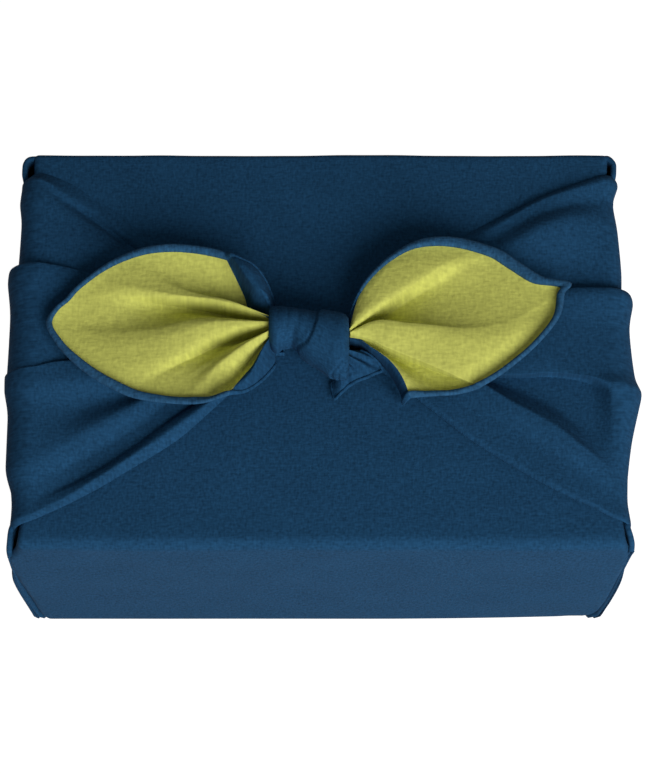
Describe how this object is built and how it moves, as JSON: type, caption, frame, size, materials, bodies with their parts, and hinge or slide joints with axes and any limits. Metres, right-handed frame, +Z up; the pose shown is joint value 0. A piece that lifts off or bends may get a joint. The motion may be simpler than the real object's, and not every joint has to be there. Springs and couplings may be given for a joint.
{
  "type": "furoshiki wrap",
  "caption": "Square cloth wrapped round a flat box, its folded arms tied on top in a knot with leaf-shaped ears, a hollow shell that rests flat",
  "frame": {"origin": "middle of the wrap's footprint, on the surface it rests on", "axes": "+X to the right along the wrap's long side, the front faces -Y, +Z up"},
  "size_m": [0.2668, 0.176, 0.1359],
  "materials": {
    "blue_crepe": "matt crepe weave",
    "green_crepe": "soft crepe weave with a slight sheen"
  },
  "bodies": {
    "root": {"furoshiki_cloth": "blue_crepe"}
  },
  "joints": []
}
